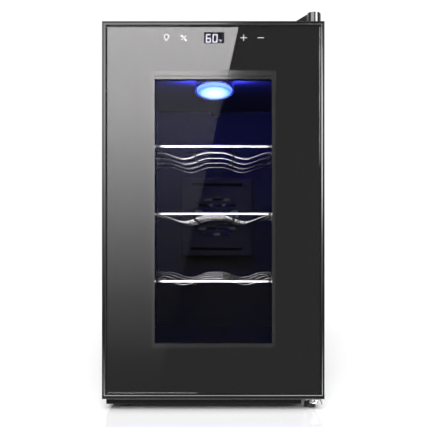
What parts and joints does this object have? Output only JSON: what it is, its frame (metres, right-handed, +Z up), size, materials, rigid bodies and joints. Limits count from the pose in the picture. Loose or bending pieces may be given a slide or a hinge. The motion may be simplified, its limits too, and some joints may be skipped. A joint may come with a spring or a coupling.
{
  "type": "wine cooler",
  "caption": "Freestanding compact wine cooler with a glass door, wave-wire shelves, a ceiling lamp and a thermoelectric cooling unit.",
  "frame": {"origin": "on the floor, under the middle of the cooler", "axes": "+Z up, the door faces -Y, +X to the right as seen from the front"},
  "size_m": [0.255, 0.505, 0.4619],
  "materials": {
    "case_steel": "satin black paint with a very fine grain",
    "door_frame": "dark grey moulded frame with a semi-gloss face",
    "glass": "polished, clear",
    "glass_print": "black enamel printed on the back of the glass",
    "spacer": "satin",
    "liner": "black moulded liner, semi-gloss",
    "foam": "rigid foam, matte, open surface",
    "black_plastic": "gloss black",
    "grey_plastic": "matte",
    "rubber": "matte",
    "gasket": "soft vinyl seal, matte",
    "chrome": "bright chrome wire",
    "zinc": "bright zinc",
    "heat_sink": "extruded, satin",
    "ceramic": "matte white",
    "circuit_board": "green board",
    "pin_metal": "plated",
    "lamp_lens": "clear lens, lit from behind",
    "display": "dark display window"
  },
  "bodies": {
    "cabinet": {"side_panel_left": "case_steel", "side_panel_right": "case_steel", "top_panel": "case_steel", "bottom_panel": "case_steel", "back_panel": "case_steel", "liner": "liner", "foam_insulation": "foam", "base_plinth": "black_plastic", "foot_front_left": "rubber", "foot_front_right": "rubber", "foot_rear_left": "rubber", "foot_rear_right": "rubber", "back_screw_1": "zinc", "back_screw_2": "zinc", "back_screw_3": "zinc", "back_screw_4": "zinc", "inner_fan_cover": "black_plastic", "inner_fan_frame": "grey_plastic", "cold_sink": "heat_sink", "cold_spacer_block": "heat_sink", "thermoelectric_module": "ceramic", "hot_sink": "heat_sink", "rear_fan_frame": "grey_plastic", "rear_vent_cover": "black_plastic", "power_board": "circuit_board", "power_board_tray": "grey_plastic", "power_inlet": "black_plastic", "inlet_pin_line": "pin_metal", "inlet_pin_neutral": "pin_metal", "inlet_pin_earth": "pin_metal", "lamp_housing": "black_plastic", "lamp_lens": "lamp_lens", "lamp_board": "circuit_board", "lamp_wire_duct": "liner", "top_hinge_bracket": "zinc", "top_hinge_pin": "zinc", "top_hinge_cover": "black_plastic", "top_hinge_screw_1": "zinc", "top_hinge_screw_2": "zinc", "bottom_hinge_bracket": "zinc", "bottom_hinge_pin": "zinc", "bottom_hinge_screw_1": "zinc", "bottom_hinge_screw_2": "zinc"},
    "door": {"door_frame": "door_frame", "outer_glass": "glass", "glass_print": "glass_print", "spacer_frame": "spacer", "inner_glass": "glass", "door_rear_panel": "liner", "door_foam": "foam", "door_gasket": "gasket", "touch_board": "circuit_board", "display_module": "display", "top_hinge_bush": "grey_plastic", "bottom_hinge_bush": "grey_plastic"},
    "shelf_top": {"shelf_top": "chrome"},
    "shelf_middle": {"shelf_middle": "chrome"},
    "shelf_bottom": {"shelf_bottom": "chrome"},
    "inner_fan_rotor": {"inner_fan_rotor": "grey_plastic"},
    "rear_fan_rotor": {"rear_fan_rotor": "grey_plastic"}
  },
  "joints": [
    {"name": "door_hinge", "type": "hinge", "parent": "cabinet", "child": "door", "pos_m": [0.117, -0.236, 0.2325], "axis": [0, 0, 1], "range_deg": [0, 120]},
    {"name": "shelf_top_slide", "type": "slide", "parent": "cabinet", "child": "shelf_top", "axis": [0, -1, 0], "range_m": [0, 0.015]},
    {"name": "shelf_middle_slide", "type": "slide", "parent": "cabinet", "child": "shelf_middle", "axis": [0, -1, 0], "range_m": [0, 0.015]},
    {"name": "shelf_bottom_slide", "type": "slide", "parent": "cabinet", "child": "shelf_bottom", "axis": [0, -1, 0], "range_m": [0, 0.015]},
    {"name": "inner_fan_spin", "type": "hinge", "parent": "cabinet", "child": "inner_fan_rotor", "pos_m": [0, 0.119, 0.235], "axis": [0, 1, 0], "continuous": true},
    {"name": "rear_fan_spin", "type": "hinge", "parent": "cabinet", "child": "rear_fan_rotor", "pos_m": [0, 0.217, 0.235], "axis": [0, 1, 0], "continuous": true}
  ]
}
